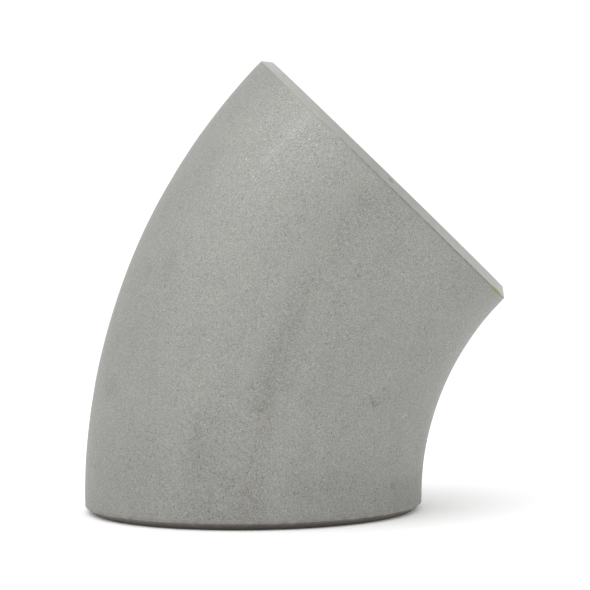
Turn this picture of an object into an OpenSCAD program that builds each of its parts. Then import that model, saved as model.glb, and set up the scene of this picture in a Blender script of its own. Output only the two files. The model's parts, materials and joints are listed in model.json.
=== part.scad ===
/*
  45 degree butt-weld elbow for a flue or duct line, NPS 8 (DN 200), schedule 40S.
  It is welded pipe bent cold: a shell rolled from plate, closed near the neutral line of the
  bend by an inside and an outside weld run. After bending, both ends are faced, turned and bored
  to the pipe's size, and bevelled for welding.
  Frame: the origin is the centre of the lower end face, +Z runs up the pipe's axis there,
  the bend leans towards +X, and Y is across the bend plane. The seam is on the -Y side.
*/

/* [Pipe] */
// Outside diameter of the pipe that the elbow is welded to
pipe_od = 219.1; // [168:0.1:273]
// Wall thickness of that pipe
wall = 8.18; // [6:0.01:12]

/* [Bend] */
// Angle between the two pipe axes
bend_angle = 45; // [30:1:60]
// From each end face to the point where the two pipe axes meet
centre_to_end = 127; // [120:0.5:160]

/* [Weld ends] */
// Straight length at each end that is turned and bored to the pipe's size
sized_end = 6; // [6:0.5:8]
// Metal that the turning and the boring take off the bent wall, on the radius
sizing_cut = 0.15; // [0.15:0.05:0.5]
// Width of the flat root face at the inside of each bevel
root_face = 2.4; // [0.8:0.1:2.4]
// Angle of the bevel from the end face
bevel_angle = 37.5; // [30:0.5:37.5]

/* [Seam] */
// Turn of the seam from the neutral line towards the inside of the bend
seam_turn = 7; // [-15:0.5:15]
// Width of the outside run at the pipe's surface
outer_run_w = 12; // [8:0.5:16]
// Width of the inside run at the bore
inner_run_w = 9; // [6:0.5:12]
// Width of the flat where the two runs meet in the middle of the wall
run_meeting_w = 2; // [1:0.1:3]
// Height of the inside run's crown above the bore
inner_crown = 0.9; // [0.8:0.1:1.5]

/* [Hidden] */
$fn = 180;
// Radii of the finished ends
end_r_out = pipe_od / 2;
end_r_in = end_r_out - wall;
// Radii of the bent wall between them
r_out = end_r_out + sizing_cut;
r_in = end_r_in - sizing_cut;
r_mid = (r_out + r_in) / 2;
bend_r = (centre_to_end - sized_end) / tan(bend_angle / 2);
// Room that a cutting shape takes past the surface it cuts
past = 2;
// The bent wall runs this much further round than the finished ends, before they are faced
spare_angle = asin((sized_end + past) / (bend_r - r_out));
spare_length = (bend_r + r_out) * sin(spare_angle);
// The inside V's edges are square for a short way into the wall, and the inside run's edges
// stand as far above the bore, with an arc that crowns the run between them
toe_h = 0.15;
edge_r = sqrt(pow(r_in, 2) - pow(inner_run_w / 2, 2));
crown_h = edge_r - toe_h - (r_in - inner_crown);
crown_r = (pow(inner_run_w / 2, 2) + pow(crown_h, 2)) / (2 * crown_h);
STEEL = [0.62, 0.62, 0.60];
WELD = [0.54, 0.53, 0.50];

// Bends a cross-section, drawn round the pipe's axis with +X towards the inside of the bend
module bent() {
    translate([bend_r, 0, sized_end])
        rotate([90, 0, 180])
            rotate_extrude(start = -spare_angle, angle = bend_angle + 2 * spare_angle)
                translate([bend_r, 0]) mirror([1, 0]) children();
}

// Takes a shape from the lower end face to the upper one, turned end for end
module at_upper_end() {
    translate([bend_r, 0, sized_end])
        rotate([0, bend_angle, 0])
            translate([-bend_r, 0, sized_end])
                mirror([0, 0, 1])
                    children();
}

// The four cuts on an end that faces -Z: facing, turning, boring and bevelling
module facing_cut() {
    translate([0, 0, -spare_length - past]) cylinder(h = spare_length + past, r = r_out + 2 * past);
}

module turning_cut() {
    translate([0, 0, -past]) difference() {
        cylinder(h = sized_end + past, r = r_out + 2 * past);
        cylinder(h = sized_end + past, r = end_r_out);
    }
}

module boring_cut() {
    translate([0, 0, -past]) cylinder(h = sized_end + past, r = end_r_in);
}

module bevel_cut() {
    slope = tan(bevel_angle);
    rotate_extrude()
        polygon([
            [end_r_in + root_face - past / slope, -past],
            [r_out + past, (r_out + past - end_r_in - root_face) * slope],
            [r_out + past, -past]
        ]);
}

module faced_ends() {
    difference() {
        children();
        facing_cut();
        at_upper_end() facing_cut();
    }
}

module finished_ends() {
    difference() {
        faced_ends() children();
        turning_cut();
        boring_cut();
        bevel_cut();
        at_upper_end() turning_cut();
        at_upper_end() boring_cut();
        at_upper_end() bevel_cut();
    }
}

// Turns a shape drawn along +X to the seam's place in the cross-section
module at_seam() {
    rotate(seam_turn - 90) children();
}

// One edge of the plate at the seam, from the bore out: side is 1 or -1
function plate_edge(side) = [
    [edge_r - past, side * inner_run_w / 2],
    [edge_r + toe_h, side * inner_run_w / 2],
    [r_mid, side * run_meeting_w / 2],
    [r_out, side * outer_run_w / 2],
    [r_out + past, side * outer_run_w / 2]
];

// Double V between the plate's two edges, open past the surface and the bore
module plate_gap() {
    near = plate_edge(-1);
    at_seam() polygon(concat(plate_edge(1), [for (i = [len(near) - 1 : -1 : 0]) near[i]]));
}

module outside_the_middle() {
    at_seam() translate([r_mid, -r_out]) square(2 * r_out);
}

module pipe_shell() {
    color(STEEL)
        finished_ends() bent() difference() {
            circle(r_out);
            circle(r_in);
            plate_gap();
        }
}

module outer_seam_run() {
    color(WELD)
        finished_ends() bent() intersection() {
            circle(r_out);
            plate_gap();
            outside_the_middle();
        }
}

module inner_seam_run() {
    color(WELD)
        finished_ends() bent() difference() {
            intersection() {
                plate_gap();
                at_seam() translate([r_in - inner_crown + crown_r, 0]) circle(crown_r);
            }
            outside_the_middle();
        }
}

pipe_shell();
outer_seam_run();
inner_seam_run();
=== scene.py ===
"""A 45 degree butt-weld pipe elbow in blasted stainless steel, standing on its lower end.

Lengths are in metres, in the frame's axes: the origin is the centre of the lower end face, +Z runs up
the lower end's axis, and the bend leans towards +X. The seam weld is on the -Y side.
A place on the pipe has a length s along the pipe's axis from the lower end face, and a turn round the
axis, from the -Y side towards the inside of the bend.
"""
import json
import math
import random
from functools import reduce

import bpy
from mathutils import Matrix, Vector, noise


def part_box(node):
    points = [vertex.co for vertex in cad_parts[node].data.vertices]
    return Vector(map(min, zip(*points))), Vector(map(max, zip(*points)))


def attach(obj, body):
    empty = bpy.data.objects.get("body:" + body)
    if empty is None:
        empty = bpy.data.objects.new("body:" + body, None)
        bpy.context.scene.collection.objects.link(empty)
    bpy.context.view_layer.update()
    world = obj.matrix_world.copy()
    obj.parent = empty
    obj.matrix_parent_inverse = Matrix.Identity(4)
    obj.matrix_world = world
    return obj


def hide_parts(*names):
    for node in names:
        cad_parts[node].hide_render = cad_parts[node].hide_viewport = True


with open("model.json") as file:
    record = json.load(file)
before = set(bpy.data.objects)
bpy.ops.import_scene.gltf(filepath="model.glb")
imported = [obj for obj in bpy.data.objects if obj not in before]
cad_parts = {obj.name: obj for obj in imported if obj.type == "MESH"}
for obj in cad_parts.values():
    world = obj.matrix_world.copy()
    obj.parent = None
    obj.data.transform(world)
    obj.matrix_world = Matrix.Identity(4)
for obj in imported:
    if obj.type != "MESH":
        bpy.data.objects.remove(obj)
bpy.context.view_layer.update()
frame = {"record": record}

MM = 0.001


# ---------------------------------------------------------------- the elbow's form, from the frame

def mount(name):
    return next(m for m in frame["record"]["mounts"] if m["name"] == name)


LOWER = mount("lower_bore")
UPPER = mount("upper_bore")
END_R_IN = LOWER["dims"]["r_mm"] * MM
SIZED_END = LOWER["dims"]["length_mm"] * MM
UPPER_CENTRE = Vector(UPPER["pos_m"])
UPPER_AXIS = Vector(UPPER["axis"])
BEND_ANGLE = math.atan2(UPPER_AXIS.x, UPPER_AXIS.z)
CENTRE_TO_END = UPPER_CENTRE.z - UPPER_CENTRE.x / math.tan(BEND_ANGLE)
BEND_R = (CENTRE_TO_END - SIZED_END) / math.tan(BEND_ANGLE / 2)
LENGTH = 2 * SIZED_END + BEND_R * BEND_ANGLE
R_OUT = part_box("pipe_shell")[1].y

# Sizes that the frame doesn't state, with the values they have in the CAD part
SIZING_CUT = 0.15 * MM
ROOT_FACE = 2.4 * MM
BEVEL_ANGLE = math.radians(37.5)
SEAM_TURN = math.radians(7)
OUTER_RUN_W = 12 * MM
INNER_RUN_W = 9 * MM
RUN_MEETING_W = 2 * MM
INNER_CROWN = 0.9 * MM
TOE_H = 0.15 * MM

END_R_OUT = R_OUT - SIZING_CUT
R_IN = END_R_IN - SIZING_CUT
R_MID = (R_OUT + R_IN) / 2
BEVEL_RISE = (END_R_OUT - END_R_IN - ROOT_FACE) * math.tan(BEVEL_ANGLE)

# Lengths over which the sized end passes into the bent wall, and the inner run's crown rises
SIZING_BLEND = 3.0 * MM
CROWN_BLEND = 1.5 * MM


def centreline(s):
    """The point at s on the pipe's axis, and the way from there to the inside of the bend."""
    bend = min(max(s - SIZED_END, 0), BEND_R * BEND_ANGLE) / BEND_R
    along = Vector((math.sin(bend), 0, math.cos(bend)))
    inward = Vector((math.cos(bend), 0, -math.sin(bend)))
    point = Vector((BEND_R, 0, SIZED_END)) - BEND_R * inward
    straight = min(s - SIZED_END, 0) + max(s - SIZED_END - BEND_R * BEND_ANGLE, 0)
    return point + straight * along, inward


def on_section(s, turn, radius):
    """The point of the cross-section at s that lies at this turn and radius."""
    point, inward = centreline(s)
    return point + radius * (math.sin(turn) * inward - math.cos(turn) * Vector((0, 1, 0)))


def smooth_step(x):
    x = min(max(x, 0), 1)
    return x * x * (3 - 2 * x)


def from_end(s):
    return min(s, LENGTH - s)


def past_sized_end(s, length):
    """0 on the sized ends, rising smoothly to 1 over this length of the bent wall beside them."""
    return smooth_step((from_end(s) - SIZED_END) / length)


def outer_radius(s):
    if from_end(s) < BEVEL_RISE:
        return END_R_IN + ROOT_FACE + from_end(s) / math.tan(BEVEL_ANGLE)
    return END_R_OUT + SIZING_CUT * past_sized_end(s, SIZING_BLEND)


def inner_radius(s):
    return END_R_IN - SIZING_CUT * past_sized_end(s, SIZING_BLEND)


def gap_half_angle(radius):
    """Half the turn that the double V between the plate's edges takes up, at a radius."""
    if radius > R_MID:
        rise = (radius - R_MID) / (R_OUT - R_MID)
        width = RUN_MEETING_W + rise * (OUTER_RUN_W - RUN_MEETING_W)
    else:
        rise = (R_MID - radius) / (R_MID - R_IN)
        width = RUN_MEETING_W + rise * (INNER_RUN_W - RUN_MEETING_W)
    return math.asin(width / 2 / radius)


# ---------------------------------------------------------------- uneven surface of a bent pipe

# Long waves from bending, ripples and dimples: their size, their height, and where their noise starts
UNEVENNESS = (
    (70 * MM, 0.30 * MM, Vector((0, 0, 0))),
    (22 * MM, 0.10 * MM, Vector((7, 3, 1))),
    (7 * MM, 0.035 * MM, Vector((2, 9, 4))),
)
# The wall's unevenness fades away over this length beside the machined ends
UNEVEN_FADE = 20 * MM

# Small dents in the bevels' outer edges: how many, the least and most half width and depth, and how far
# they reach from the edge along the pipe
NICK_COUNT = 34
NICK_HALF_WIDTH = (1.8 * MM, 4.5 * MM)
NICK_DEPTH = (0.08 * MM, 0.38 * MM)
NICK_REACH = 1.6 * MM

random.seed(11)
# Each dent: at the upper end or not, turn, half width, depth
NICKS = [(random.random() < 0.5, random.uniform(-math.pi, math.pi), random.uniform(*NICK_HALF_WIDTH),
          random.uniform(*NICK_DEPTH)) for _ in range(NICK_COUNT)]


def unevenness(point):
    """How far the blasted wall stands off its true form."""
    return sum(noise.noise(point / size + start) * height for size, height, start in UNEVENNESS)


def nick_depth(s, turn):
    """How deep the bevel's outer edge is dented at this place."""
    near_edge = 1 - abs(from_end(s) - BEVEL_RISE) / NICK_REACH
    if near_edge <= 0:
        return 0
    deepest = 0
    for upper, place, half_width, depth in NICKS:
        if upper == (s > LENGTH / 2):
            off = math.remainder(turn - place, 2 * math.pi) * END_R_OUT / half_width
            deepest = max(deepest, depth * max(0, 1 - off * off) ** 2)
    return deepest * near_edge


def surface_point(s, turn, radius):
    """on_section, dented at the bevels' edges and pushed in or out by the wall's unevenness."""
    if radius > R_MID:
        radius -= nick_depth(s, turn)
    point = on_section(s, turn, radius)
    share = past_sized_end(s, UNEVEN_FADE)
    if share == 0:
        return point
    outward = (point - centreline(s)[0]).normalized()
    return point + outward * unevenness(point) * share


# ---------------------------------------------------------------- lofted solids

# Where the cross-sections lie beside an end: close together where the surface turns
NEAR_END = [n * MM for n in (0, 0.5, 1.3, 2.2, 3.1, 3.9)]
NEAR_END += [BEVEL_RISE + n * MM for n in (-0.12, 0, 0.15)]
NEAR_END += [SIZED_END + n * MM for n in (-0.8, -0.1, 0, 0.2, 0.6, 1.1, 1.7, 2.4, 3.2)]
# The even steps between the two ends start this far from each of them
MIDDLE_START = SIZED_END + 4.5 * MM
MIDDLE_STEPS = 96

# Steps round the shell, and across a weld run
AROUND = 480
ACROSS = 12
# The inner run has ripples, so its cross-sections lie this close together past RUN_EDGE from an end
RUN_STEP = 0.8 * MM
RUN_EDGE = 10 * MM
RIPPLE_PITCH = 3.2 * MM
# How much of the crown's height a ripple takes away or gives back, and how far it bows, in radians
RIPPLE_SHARE = 0.15
RIPPLE_BOW = 1.5

# The machined material reaches this far from an end
MACHINED_END = SIZED_END + 0.2 * MM
# Least depth of metal between the surface and the line where the two weld runs meet
MEETING_DEPTH = 0.1 * MM

# Edges that turn more than this are shaded sharp
SHELL_SHARP = math.radians(25)
RUN_SHARP = math.radians(30)


def stations():
    """The lengths along the axis where the cross-sections lie."""
    first, last = MIDDLE_START, LENGTH - MIDDLE_START
    middle = [first + (last - first) * i / MIDDLE_STEPS for i in range(MIDDLE_STEPS + 1)]
    return NEAR_END + middle + [LENGTH - s for s in reversed(NEAR_END)]


def loft(name, places, section, sharp_angle, blasted, machined):
    """A closed solid through the cross-sections at these places. Each section runs along one side of the
    wall and back along the other, so its points pair up across it. The ends have the machined material."""
    sections = [section(s) for s in places]
    size = len(sections[0])
    faces, finish = [], []
    for k in range(len(sections) - 1):
        for i in range(size):
            j = (i + 1) % size
            faces.append((k * size + i, k * size + j, (k + 1) * size + j, (k + 1) * size + i))
            finish.append(int(from_end((places[k] + places[k + 1]) / 2) < MACHINED_END))
    last = (len(sections) - 1) * size
    for i in range(size // 2 - 1):
        j = size - 1 - i
        faces.append((i, j, j - 1, i + 1))
        faces.append((last + i, last + i + 1, last + j - 1, last + j))
        finish += [1, 1]
    mesh = bpy.data.meshes.new(name)
    mesh.from_pydata([tuple(point) for ring in sections for point in ring], [], faces)
    mesh.materials.append(blasted)
    mesh.materials.append(machined)
    mesh.polygons.foreach_set("material_index", finish)
    mesh.validate()
    mesh.update()
    mesh.shade_smooth()
    mesh.set_sharp_from_angle(angle=sharp_angle)
    obj = bpy.data.objects.new(name, mesh)
    bpy.context.scene.collection.objects.link(obj)
    return obj


def shell_section(s):
    """The wall's C-shaped outline: round the outside, down one plate edge, and back round the bore."""
    r_out, r_in = outer_radius(s), inner_radius(s)
    r_mid = min(R_MID, r_out - MEETING_DEPTH)
    radii = [r_out, (r_out + r_mid) / 2, r_mid, (r_mid + r_in) / 2, r_in]
    start = [(radius, SEAM_TURN + gap_half_angle(radius)) for radius in radii]
    stop = [(radius, SEAM_TURN + 2 * math.pi - gap_half_angle(radius)) for radius in radii]
    outside, inside = [], []
    for i in range(1, AROUND):
        share = i / AROUND
        outside.append((r_out, start[0][1] + (stop[0][1] - start[0][1]) * share))
        inside.append((r_in, start[-1][1] + (stop[-1][1] - start[-1][1]) * share))
    ring = start[:1] + outside + stop + inside[::-1] + start[:0:-1]
    return [surface_point(s, turn, radius) for radius, turn in ring]


def build_shell(blasted, machined):
    return loft("elbow_shell", stations(), shell_section, SHELL_SHARP, blasted, machined)


def steps_across():
    """Evenly spaced values from -1 to 1."""
    return [2 * i / ACROSS - 1 for i in range(ACROSS + 1)]


def outer_run_section(s):
    """The outer V's filling, flush with the wall."""
    r_out = outer_radius(s)
    top_half, low_half = gap_half_angle(r_out), gap_half_angle(R_MID)
    top = [surface_point(s, SEAM_TURN + across * top_half, r_out) for across in steps_across()]
    low = [surface_point(s, SEAM_TURN + across * low_half, R_MID) for across in steps_across()]
    return top + low[::-1]


def build_outer_run(blasted, machined):
    covered = [s for s in stations() if outer_radius(s) > R_MID + MEETING_DEPTH]
    return loft("outer_weld_run", covered, outer_run_section, RUN_SHARP, blasted, machined)


def inner_run_section(s):
    """The inner V's filling, with a rippled crown that stands into the bore."""
    r_in = inner_radius(s)
    r_mid = min(R_MID, outer_radius(s))
    top_half, low_half = gap_half_angle(r_mid), gap_half_angle(r_in)
    top, low = [], []
    for across in steps_across():
        crown = TOE_H + (INNER_CROWN - TOE_H) * (1 - across * across)
        ripple = math.sin(2 * math.pi * s / RIPPLE_PITCH - RIPPLE_BOW * across * across)
        crown *= past_sized_end(s, CROWN_BLEND) * (1 - RIPPLE_SHARE + RIPPLE_SHARE * ripple)
        top.append(surface_point(s, SEAM_TURN + across * top_half, r_mid))
        low.append(surface_point(s, SEAM_TURN + across * low_half, r_in - crown))
    return low + top[::-1]


def build_inner_run(blasted, machined):
    edges = [s for s in stations() if from_end(s) < RUN_EDGE]
    fine = [i * RUN_STEP for i in range(int(LENGTH / RUN_STEP) + 1)]
    places = sorted(edges + [s for s in fine if from_end(s) > RUN_EDGE])
    return loft("inner_weld_run", places, inner_run_section, RUN_SHARP, blasted, machined)


# ---------------------------------------------------------------- material nodes

# Length round the outside for one degree of turn, and from the -Y side to the seam
DEGREE_ROUND = R_OUT * math.radians(1)
SEAM_AROUND = R_OUT * SEAM_TURN


class Nodes:
    """Short calls for one material's nodes. Its coordinates are the place in the frame, and on the pipe:
    along it in metres, turn in degrees, around it in metres, and the radius."""

    def __init__(self, name):
        self.material = bpy.data.materials.new(name)
        self.material.use_nodes = True
        self.tree = self.material.node_tree
        self.shader = self.tree.nodes["Principled BSDF"]
        self.place = self.tree.nodes.new("ShaderNodeTexCoord").outputs["Object"]
        self.along, self.turn, self.radius = pipe_coordinates(self)
        self.around = self.multiply(self.turn, DEGREE_ROUND)

    def link(self, value, socket):
        if isinstance(value, bpy.types.NodeSocket):
            self.tree.links.new(value, socket)
        else:
            socket.default_value = value

    def node(self, kind, *values):
        """A new node with its first inputs set to these values."""
        node = self.tree.nodes.new(kind)
        for value, socket in zip(values, node.inputs):
            self.link(value, socket)
        return node

    def math(self, operation, *values):
        node = self.node("ShaderNodeMath", *values)
        node.operation = operation
        return node.outputs[0]

    def add(self, *parts):
        return reduce(lambda a, b: self.math("ADD", a, b), parts)

    def subtract(self, a, b):
        return self.math("SUBTRACT", a, b)

    def multiply(self, *parts):
        return reduce(lambda a, b: self.math("MULTIPLY", a, b), parts)

    def hypotenuse(self, a, b):
        return self.math("SQRT", self.add(self.multiply(a, a), self.multiply(b, b)))

    def combine(self, x, y, z):
        return self.node("ShaderNodeCombineXYZ", x, y, z).outputs[0]

    def noise(self, size, detail=2, roughness=0.5, start=0.0, at=None):
        """Noise from 0 to 1 whose blotches are about size metres across. It is read at the place, or at
        another vector, and start picks another stretch of it."""
        moved = self.node("ShaderNodeVectorMath", self.place if at is None else at, (start, start, start))
        moved.operation = "ADD"
        node = self.node("ShaderNodeTexNoise", moved.outputs[0])
        node.inputs["Scale"].default_value = 1 / size
        node.inputs["Detail"].default_value = detail
        node.inputs["Roughness"].default_value = roughness
        return node.outputs["Fac"]

    def centred(self, value, weight):
        """A 0 to 1 value as a change of at most half the weight either way."""
        return self.multiply(self.subtract(value, 0.5), weight)

    def remap(self, value, low, high, to_low=0.0, to_high=1.0):
        """The value's smooth passage from low to high, as one from to_low to to_high."""
        node = self.node("ShaderNodeMapRange", value, low, high, to_low, to_high)
        node.interpolation_type = "SMOOTHSTEP"
        return node.outputs[0]

    def near(self, value, middle, full, end):
        """1 where the value is within full of the middle, fading to 0 at end from it."""
        return self.remap(self.math("ABSOLUTE", self.subtract(value, middle)), end, full)

    def between(self, value, start, full, full_to, end):
        """1 where the value is between full and full_to, fading to 0 at start and at end."""
        return self.multiply(self.remap(value, start, full), self.remap(value, end, full_to))

    def mix(self, share, a, b, blend="MIX"):
        node = self.tree.nodes.new("ShaderNodeMix")
        node.data_type = "RGBA"
        node.blend_type = blend
        self.link(share, node.inputs["Factor"])
        for value, key in ((a, "A"), (b, "B")):
            socket = next(i for i in node.inputs if i.name == key and i.type == "RGBA")
            self.link(value if isinstance(value, bpy.types.NodeSocket) else (*value, 1), socket)
        return next(o for o in node.outputs if o.type == "RGBA")

    def tinted(self, grey, tint):
        return self.mix(1.0, self.combine(grey, grey, grey), tint, "MULTIPLY")

    def finish(self, colour, metallic, roughness, height, depth):
        """Feeds the shader, with a bump of this depth from the height, and gives the material."""
        bump = self.tree.nodes.new("ShaderNodeBump")
        bump.inputs["Strength"].default_value = 1
        bump.inputs["Distance"].default_value = depth
        self.link(height, bump.inputs["Height"])
        self.link(colour, self.shader.inputs["Base Color"])
        self.link(metallic, self.shader.inputs["Metallic"])
        self.link(roughness, self.shader.inputs["Roughness"])
        self.link(bump.outputs[0], self.shader.inputs["Normal"])
        return self.material


def pipe_coordinates(n):
    """Where a point lies on the pipe: metres along the axis, degrees of turn, and the radius."""
    x, y, z = n.node("ShaderNodeSeparateXYZ", n.place).outputs
    from_bend_x = n.subtract(BEND_R, x)
    from_bend_z = n.subtract(z, SIZED_END)
    bend = n.math("ARCTAN2", from_bend_z, from_bend_x)
    bend = n.math("MINIMUM", n.math("MAXIMUM", bend, 0.0), BEND_ANGLE)
    cosine = n.math("COSINE", bend)
    sine = n.math("SINE", bend)
    from_bend = n.add(n.multiply(from_bend_x, cosine), n.multiply(from_bend_z, sine))
    inward = n.subtract(BEND_R, from_bend)
    past_bend = n.subtract(n.multiply(from_bend_z, cosine), n.multiply(from_bend_x, sine))
    along = n.add(n.multiply(bend, BEND_R), n.add(past_bend, SIZED_END))
    turn = n.math("DEGREES", n.math("ARCTAN2", inward, n.multiply(y, -1.0)))
    return along, turn, n.hypotenuse(inward, y)


# ---------------------------------------------------------------- blasted steel

# The metal is rough enough to scatter part of the light as a plain surface does
METALLIC = 0.75
BLASTED_GREY = 0.286
BLASTED_ROUGHNESS = 0.60
BLAST_DEPTH = 0.09 * MM
WELD_GRAIN = 1.15
# The bore's greys are partly painted fill light, which lifts the shade inside it
BORE_GREY_AND_FILL_LIGHT = 0.47
BORE_WELD_GREY_AND_FILL_LIGHT = 0.56

# Tints are factors on a grey
COOL_TINT = (0.993, 1.0, 0.95)
WARM_TINT = (1.004, 1.0, 0.94)
SEAM_TINT = (1.015, 1.0, 0.925)
SPECK_TINT = (1.06, 0.99, 0.91)
BORE_TINT = (1.0, 0.995, 0.965)
# The colours that the weld's heat left in the bore, and how much they cover at the most
STRAW = (0.36, 0.30, 0.20)
BLUE = (0.20, 0.22, 0.27)
HEAT_SHARE = 0.45

# Marks on the blasted wall, a few of them painted shade or painted highlight, each an oval: millimetres
# along the pipe and degrees of turn to its middle, half length and half width in millimetres, slant in
# degrees, how ragged the edge is, and how much lighter or darker than the wall it is
MARKS = (
    # the check-mark stain, with the spot, the scratch and the light scrape beside it
    (97.5, 43, 3.0, 3.6, 0, 1.2, -0.20),
    (100.5, 40.8, 5.6, 1.2, -45, 0.9, -0.10),
    (100.5, 45, 4.5, 1.1, 50, 0.9, -0.07),
    (112, 44.3, 2.6, 1.7, 0, 1.0, -0.20),
    (123, 44, 11, 0.7, 2, 0.4, 0.12),
    (93.5, 58, 4.4, 0.85, 50, 0.2, 0.22),
    # small stains, spots and chips over the flank
    (95, 12, 5, 6, 20, 1.3, -0.07),
    (78, 5, 6, 8, 0, 1.3, -0.07),
    (88, 1, 3.0, 4.0, 0, 1.4, -0.07),
    (30, -2, 7, 6, 20, 1.3, -0.07),
    (132, -42, 9, 8, 30, 0.9, -0.05),
    (125, -51, 6, 6, 0, 0.9, -0.05),
    (66, -53, 5, 10, 0, 1.1, -0.075),
    (209, -34, 9, 7, 0, 0.9, -0.04),
    (29, 59, 5, 4, 0, 1.3, -0.12),
    (219, 4.7, 3.5, 3.5, 20, 1.2, -0.09),
    (84, 7, 11, 6, 0, 0.9, -0.045),
    (105, -16, 0.6, 1.7, 8, 0.2, 0.22),
    (156, -33, 0.6, 0.6, 0, 0.2, 0.10),
    # broad patches over the flank
    (213, -28, 19, 3.5, 0, 0.5, 0.045),
    (40, -13, 26, 7, -3, 0.9, -0.065),
    (56, -5, 34, 20, 0, 0.9, -0.045),
    (105, 5, 28, 9, 0, 0.9, -0.045),
    # painted highlight: lighter where the highlight falls near the top
    (228, -27, 9, 5, 0, 0.9, 0.06),
    (226, 24, 12, 15, 0, 0.9, 0.05),
    (190, 36, 46, 32, 0, 0.7, 0.035),
    (171, 61, 30, 3.5, 0, 0.5, 0.02),
    # painted shade: these three darken the lower wall towards the floor it stands on
    (14, 80, 28, 60, 0, 0.5, -0.12),
    (34, 42, 34, 46, 0, 0.5, -0.05),
    (12, -2, 15, 30, 0, 0.6, -0.05),
    (60, 75, 20, 9, 0, 0.9, -0.03),
    # stains and scratches on the far side
    (150, 120, 26, 14, 20, 0.9, -0.04),
    (90, 160, 12, 20, 10, 0.9, -0.05),
    (190, -110, 18, 10, -15, 0.9, -0.045),
    (55, -130, 20, 12, 25, 0.9, -0.05),
    (120, -95, 14, 0.7, 12, 0.3, 0.06),
    (140, 150, 9, 0.6, 60, 0.3, 0.07),
)
# A mark is full inside this share of its half width, gone outside this one, and its edge wanders by this
MARK_FULL = 0.35
MARK_GONE = 1.25
MARK_WANDER = 1.6


def mark_tone(n, ragged_by, middle, turn, half_length, half_width, slant, ragged, tone):
    """The change of tone that one of the MARKS makes, with a soft, ragged edge."""
    u = n.subtract(n.along, middle * MM)
    v = n.subtract(n.around, turn * DEGREE_ROUND)
    cosine, sine = math.cos(math.radians(slant)), math.sin(math.radians(slant))
    half_length *= MM
    half_width *= MM
    long_way = n.add(n.multiply(u, cosine / half_length), n.multiply(v, sine / half_length))
    wide_way = n.subtract(n.multiply(v, cosine / half_width), n.multiply(u, sine / half_width))
    away = n.add(n.hypotenuse(long_way, wide_way), n.multiply(ragged_by, MARK_WANDER * ragged))
    return n.multiply(n.remap(away, MARK_GONE, MARK_FULL), tone)


def dried_ring_tone(n):
    """The faint ring that a drop left when it dried on the wall."""
    along, turn, ring_radius = 161 * MM, 23, 15 * MM
    away = n.hypotenuse(n.subtract(n.along, along), n.subtract(n.around, turn * DEGREE_ROUND))
    away = n.add(away, n.centred(n.noise(12 * MM, 3, 0.6, start=10.3), 9 * MM))
    return n.multiply(n.near(away, ring_radius, 0.4 * MM, 2.2 * MM), -0.03)


def blast_grain(n, strength):
    """What shot blasting gives: the change of tone, with painted glints at the sparkles, the height, the
    dark specks and the sparkles.
    """
    fine = n.noise(0.55 * MM, 1, start=1.3)
    medium = n.noise(1.2 * MM, 2, 0.6, start=4.9)
    coarse = n.noise(3.0 * MM, 2, start=7.7)
    sparkle = n.remap(n.noise(1.0 * MM, 1, start=2.6), 0.63, 0.76)
    pit = n.remap(n.noise(1.3 * MM, 1, start=9.4), 0.32, 0.20)
    gathered = n.remap(n.noise(24 * MM, 3, 0.7, start=12.1), 0.42, 0.62, 0.2, 1.0)
    speck = n.multiply(n.remap(n.noise(1.15 * MM, 0, start=6.4), 0.67, 0.76), gathered)
    # The sparkles also lighten the tone a little: painted glints
    tone = n.add(n.centred(fine, 1.22 * strength), n.centred(medium, 0.36 * strength),
                 n.centred(coarse, 0.13 * strength), n.multiply(sparkle, 0.14 * strength),
                 n.multiply(pit, -0.19 * strength), n.multiply(speck, -0.30))
    height = n.add(fine, n.multiply(medium, 1.5), n.multiply(pit, -0.8))
    return tone, height, speck, sparkle


def seam_streaks(n):
    """The dressed weld shows through the blasting as a wavering darker streak between two lighter ones."""
    at_length = n.combine(0.0, 0.0, n.along)
    waver = n.noise(38 * MM, 2, start=5.5, at=at_length)
    ragged = n.noise(6 * MM, 3, 0.65, start=3.9)
    across = n.add(n.subtract(n.around, SEAM_AROUND), n.centred(waver, 12 * MM), n.centred(ragged, 10 * MM))
    away = n.math("ABSOLUTE", across)
    dark = n.remap(away, 11 * MM, 2 * MM)
    light = n.between(away, 9 * MM, 15 * MM, 16 * MM, 24 * MM)
    uneven = n.remap(n.noise(30 * MM, 2, 0.6, start=8.8, at=at_length), 0.3, 0.7, 0.45, 1.1)
    fainter_above = n.remap(n.along, 175 * MM, 120 * MM, 0.5, 1.0)
    return n.multiply(dark, uneven, fainter_above), light


def bore_colour(n, tone, weld):
    """The bore is cleaner and lighter than the outside, and painted lighter still as fill light that lifts
    the shade inside it, with a faint heat tint beside the inner weld run.
    """
    drawn = n.noise(4 * MM, 3, 0.6, start=8.1, at=n.combine(n.multiply(n.along, 0.06), n.around, 0.0))
    light = n.add(1.0, n.multiply(tone, 0.8), n.centred(drawn, 0.16))
    colour = n.tinted(n.multiply(BORE_WELD_GREY_AND_FILL_LIGHT if weld else BORE_GREY_AND_FILL_LIGHT, light), BORE_TINT)
    if weld:
        return colour
    away = n.math("ABSOLUTE", n.subtract(n.around, SEAM_AROUND))
    away = n.add(away, n.centred(n.noise(7 * MM, 3, 0.6, start=4.1), 5 * MM))
    colour = n.mix(n.multiply(n.remap(away, 17 * MM, 9 * MM), HEAT_SHARE), colour, STRAW)
    return n.mix(n.multiply(n.remap(away, 9.5 * MM, 5.5 * MM), HEAT_SHARE), colour, BLUE)


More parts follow.
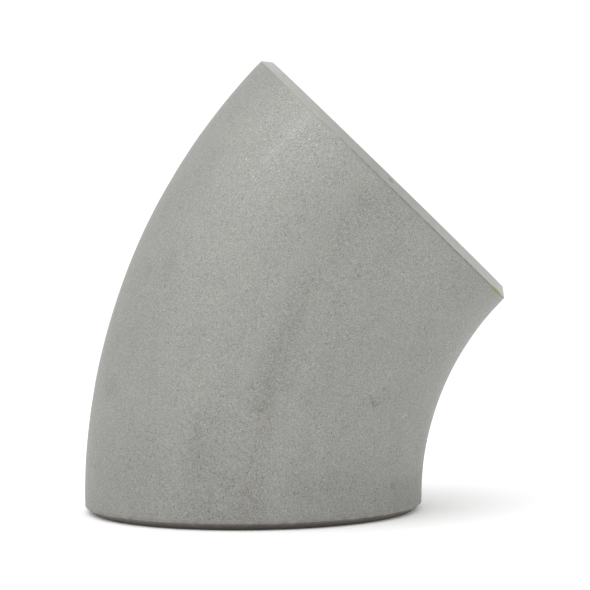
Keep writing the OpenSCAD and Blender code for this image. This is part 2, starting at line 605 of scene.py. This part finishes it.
def blasted_steel(name, weld=False):
    """The bent wall, or a weld run, in the tone and grain of shot-blasted stainless steel."""
    n = Nodes(name)
    grain, height, speck, sparkle = blast_grain(n, WELD_GRAIN if weld else 1.0)
    dark, light = seam_streaks(n)
    broad = n.noise(60 * MM, 3, start=0.7)
    blotch = n.noise(18 * MM, 4, 0.6, start=3.1)
    patch = n.noise(6 * MM, 3, 0.6, start=5.7)
    streak = n.noise(5 * MM, 3, 0.6, start=2.2, at=n.combine(n.multiply(n.along, 0.12), n.around, 0.0))
    ragged_by = n.centred(n.noise(3.5 * MM, 3, 0.7, start=6.1), 1.0)
    marks = [mark_tone(n, ragged_by, *mark) for mark in MARKS]
    # painted shade: the wall darkens towards the floor it stands on
    painted_shade_foot = n.remap(n.along, 70 * MM, 5 * MM, 0.0, -0.07)
    tone = n.add(*marks, grain, n.centred(broad, 0.12), n.centred(blotch, 0.15), n.centred(patch, 0.085),
                 n.centred(streak, 0.05), dried_ring_tone(n), n.multiply(dark, -0.065),
                 n.multiply(light, 0.018), painted_shade_foot)
    tint = n.mix(n.remap(blotch, 0.35, 0.65), COOL_TINT, WARM_TINT)
    tint = n.mix(n.multiply(dark, 0.6), tint, SEAM_TINT)
    tint = n.mix(speck, tint, SPECK_TINT)
    colour = n.tinted(n.multiply(BLASTED_GREY, n.add(1.0, tone)), tint)
    inside = n.remap(n.radius, R_MID + 2 * MM, R_MID - 2 * MM)
    colour = n.mix(inside, colour, bore_colour(n, tone, weld))
    rough = n.add(BLASTED_ROUGHNESS, n.centred(blotch, 0.12), n.centred(patch, 0.10),
                  n.multiply(sparkle, -0.38))
    return n.finish(colour, METALLIC, rough, height, BLAST_DEPTH)


# ---------------------------------------------------------------- machined steel

MACHINED_GREY = 0.33
MACHINED_ROUGHNESS = 0.55
TOOL_PITCH = 0.42 * MM
TOOL_DEPTH = 0.012 * MM
MACHINED_TINT = (1.0, 1.0, 0.945)
TURNED_BAND = (0.262, 0.262, 0.248)
# Painted shade for the dark line at the upper bevel's outer edge, and its brown stretch
EDGE_SHADE = (0.085, 0.080, 0.068)
BROWN_EDGE_SHADE = (0.14, 0.11, 0.055)
YELLOW_PAINT = (0.22, 0.21, 0.045)
# Painted shade for the end it stands on
CONTACT_SHADE = (0.078, 0.058, 0.038)


def add_turned_band(n, colour, end):
    """The band that is turned to size, outside the bevel, keeps the blasted wall's tone."""
    outside = n.remap(n.radius, R_MID, R_MID + MM)
    band = n.multiply(n.remap(end, BEVEL_RISE + 0.2 * MM, BEVEL_RISE + 0.7 * MM), outside)
    return n.mix(n.multiply(band, 0.9), colour, TURNED_BAND)


def add_edge_shade(n, colour, end, upper):
    """Painted shade: a dark line at the upper bevel's sharp outer edge, standing in for the edge's shadow,
    brown over a short stretch of its turn and heavier towards the inside of the bend.
    """
    line = n.near(end, BEVEL_RISE + 0.4 * MM, 0.15 * MM, 0.62 * MM)
    patchy = n.remap(n.noise(4 * MM, 4, 0.75, start=2.9), 0.38, 0.60, 0.35, 1.0)
    share = n.multiply(n.remap(n.turn, -35.0, 10.0, 0.25, 1.0), n.multiply(upper, 0.62))
    brown = n.between(n.turn, 8.0, 15.0, 22.0, 30.0)
    return n.mix(n.multiply(line, patchy, share), colour, n.mix(brown, EDGE_SHADE, BROWN_EDGE_SHADE))


def add_paint_smear(n, colour, end, upper, scuff):
    """A smear of yellow marking paint on the upper bevel's outer edge."""
    smear = n.multiply(n.between(n.turn, 62.0, 67.0, 73.0, 78.0),
                       n.near(end, BEVEL_RISE + 0.5 * MM, 0.5 * MM, 1.5 * MM), upper)
    smear = n.multiply(smear, n.remap(scuff, 0.30, 0.55, 0.4, 1.0))
    return n.mix(n.multiply(smear, 0.8), colour, YELLOW_PAINT)


def machined_steel(name):
    """The turned, bored and bevelled ends: bright metal with fine tool marks and a smear of paint, with
    painted shade along the upper bevel's edge and on the end it stands on, and painted light towards the
    sides.
    """
    n = Nodes(name)
    upper = n.math("GREATER_THAN", n.along, LENGTH / 2)
    end = n.math("MINIMUM", n.along, n.subtract(LENGTH, n.along))
    depth = n.subtract(n.radius, end)
    wobble = n.noise(9 * MM, 2, start=1.9)
    tool = n.math("SINE", n.add(n.multiply(depth, 2 * math.pi / TOOL_PITCH), n.centred(wobble, 4.0)))
    scuff = n.noise(0.7 * MM, 3, 0.6, start=4.4, at=n.combine(n.multiply(n.around, 0.15), depth, 0.0))
    dull = n.noise(22 * MM, 3, 0.6, start=7.3)
    fine = n.noise(0.6 * MM, 2, 0.6, start=3.3)
    tone = n.add(n.multiply(tool, 0.035), n.centred(scuff, 0.20), n.centred(dull, 0.22),
                 n.centred(fine, 0.20))
    # painted light: lighter towards the sides, away from the -Y side, as the bevel's brighter-lit corners
    # show
    painted_light_sides = n.remap(n.math("ABSOLUTE", n.turn), 10.0, 80.0, 1.0, 1.17)
    grey = n.multiply(MACHINED_GREY, n.add(1.0, tone), painted_light_sides)
    colour = n.tinted(grey, MACHINED_TINT)
    colour = add_turned_band(n, colour, end)
    colour = add_edge_shade(n, colour, end, upper)
    colour = add_paint_smear(n, colour, end, upper, scuff)
    # painted shade on the end it stands on, darkened as the floor's contact shadow would darken it, and made
    # rougher there too
    ragged_along = n.add(n.along, n.centred(n.noise(5 * MM, 3, 0.7, start=6.6), 4 * MM))
    contact_shade_share = n.remap(ragged_along, 7.0 * MM, 1.8 * MM)
    colour = n.mix(n.multiply(contact_shade_share, 0.7), colour, CONTACT_SHADE)
    rough = n.add(MACHINED_ROUGHNESS, n.centred(dull, 0.20), n.multiply(contact_shade_share, 0.2))
    return n.finish(colour, METALLIC, rough, n.add(tool, scuff), TOOL_DEPTH)


# ---------------------------------------------------------------- stage, lights and camera

FLOOR_HALF = 8.0
FLOOR_TONE = 0.96
FLOOR_ROUGHNESS = 0.9

WORLD_STRENGTH = 1.07
LIT_POINT = Vector((0.03, 0, 0.12))
LIGHT_DISTANCE = 2.0
LIGHT_SIZE = 1.5
# Name, azimuth and height in degrees as seen from the lit point, and watts
LIGHTS = (
    ("far_left", -170, 45, 4.4),
    ("left", -140, 45, 4.9),
    ("front", -110, 45, 7.3),
    ("right", 10, 15, 3.5),
    ("above", 60, 75, 3.3),
)

# The camera's place in outside diameters of the pipe, and its turns in degrees
EYE = Vector((0.694, -5.131, 0.654))
YAW, PITCH, ROLL = -6.271, -0.202, -0.557
LENS_MM = 105.7
SENSOR_MM = 36


def build_floor():
    material = bpy.data.materials.new("pale_floor")
    material.use_nodes = True
    shader = material.node_tree.nodes["Principled BSDF"]
    shader.inputs["Base Color"].default_value = (FLOOR_TONE, FLOOR_TONE, FLOOR_TONE, 1)
    shader.inputs["Roughness"].default_value = FLOOR_ROUGHNESS
    corners = [(x * FLOOR_HALF, y * FLOOR_HALF, 0) for x, y in ((-1, -1), (1, -1), (1, 1), (-1, 1))]
    mesh = bpy.data.meshes.new("floor")
    mesh.from_pydata(corners, [], [(0, 1, 2, 3)])
    mesh.materials.append(material)
    floor = bpy.data.objects.new("floor", mesh)
    bpy.context.scene.collection.objects.link(floor)


def area_light(name, azimuth, height, watts):
    """A soft disk light that faces the lit point from this direction, in radians."""
    level = math.cos(height)
    way = Vector((level * math.cos(azimuth), level * math.sin(azimuth), math.sin(height)))
    data = bpy.data.lights.new(name, "AREA")
    data.shape = "DISK"
    data.size = LIGHT_SIZE
    data.energy = watts
    light = bpy.data.objects.new(name, data)
    bpy.context.scene.collection.objects.link(light)
    light.location = LIT_POINT + LIGHT_DISTANCE * way
    light.rotation_euler = (-way).to_track_quat("-Z", "Y").to_euler()


def build_lights():
    world = bpy.data.worlds.new("studio")
    bpy.context.scene.world = world
    world.use_nodes = True
    background = world.node_tree.nodes["Background"]
    background.inputs["Color"].default_value = (1, 1, 1, 1)
    background.inputs["Strength"].default_value = WORLD_STRENGTH
    for name, azimuth, height, watts in LIGHTS:
        area_light(name, math.radians(azimuth), math.radians(height), watts)


def build_camera():
    """The camera stands in front, a little right of the lower axis and below the top of the elbow."""
    yaw, pitch, roll = (math.radians(angle) for angle in (YAW, PITCH, ROLL))
    forward = Vector((math.sin(yaw) * math.cos(pitch), math.cos(yaw) * math.cos(pitch), math.sin(pitch)))
    level = forward.cross(Vector((0, 0, 1))).normalized()
    upright = level.cross(forward)
    right = level * math.cos(roll) + upright * math.sin(roll)
    up = upright * math.cos(roll) - level * math.sin(roll)
    data = bpy.data.cameras.new("camera")
    data.sensor_width = SENSOR_MM
    data.lens = LENS_MM
    camera = bpy.data.objects.new("camera", data)
    bpy.context.scene.collection.objects.link(camera)
    camera.location = EYE * 2 * END_R_OUT
    camera.rotation_euler = Matrix((right, up, -forward)).transposed().to_euler()
    bpy.context.scene.camera = camera


# ---------------------------------------------------------------- the scene

build_camera()
build_lights()
build_floor()
shell_metal = blasted_steel("blasted_steel")
weld_metal = blasted_steel("blasted_weld", weld=True)
end_metal = machined_steel("machined_steel")
for build, metal, node, slot in ((build_shell, shell_metal, "pipe_shell", "blasted_steel"),
                                 (build_outer_run, weld_metal, "outer_seam_run", "outer_weld"),
                                 (build_inner_run, weld_metal, "inner_seam_run", "inner_weld")):
    piece = build(metal, end_metal)
    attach(piece, "root")
    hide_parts(node)

bpy.context.scene.view_settings.view_transform = "Standard"
